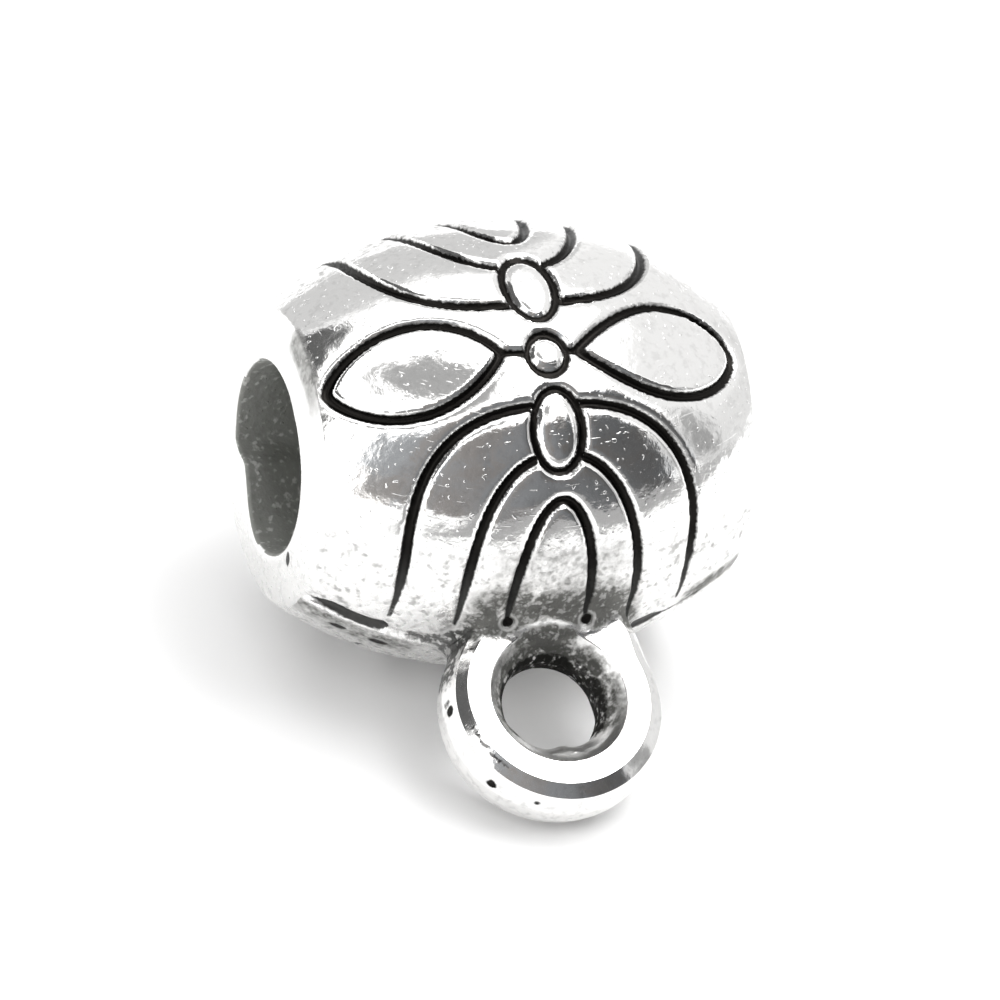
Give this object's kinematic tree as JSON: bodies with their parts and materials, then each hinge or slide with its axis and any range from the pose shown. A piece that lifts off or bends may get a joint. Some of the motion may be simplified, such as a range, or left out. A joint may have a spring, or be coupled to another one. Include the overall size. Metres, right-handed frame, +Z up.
{
  "type": "barrel bail bead with loop",
  "caption": "One-piece cast bail: a domed barrel bead with a large through bore, engraved leaf and arch relief, and a fixed loop for a charm.",
  "frame": {"origin": "on the table, below the middle of the bail's box as it lies", "axes": "+X along the barrel's bore; the loop lies towards -Y and touches the table; +Z up from the table, out of the decorated front"},
  "size_m": [0.011, 0.0138, 0.0104],
  "materials": {
    "antique_silver": "cast and tumbled antique silver, dark patina in the grooves"
  },
  "bodies": {
    "root": {"bail_casting": "antique_silver"}
  },
  "joints": []
}
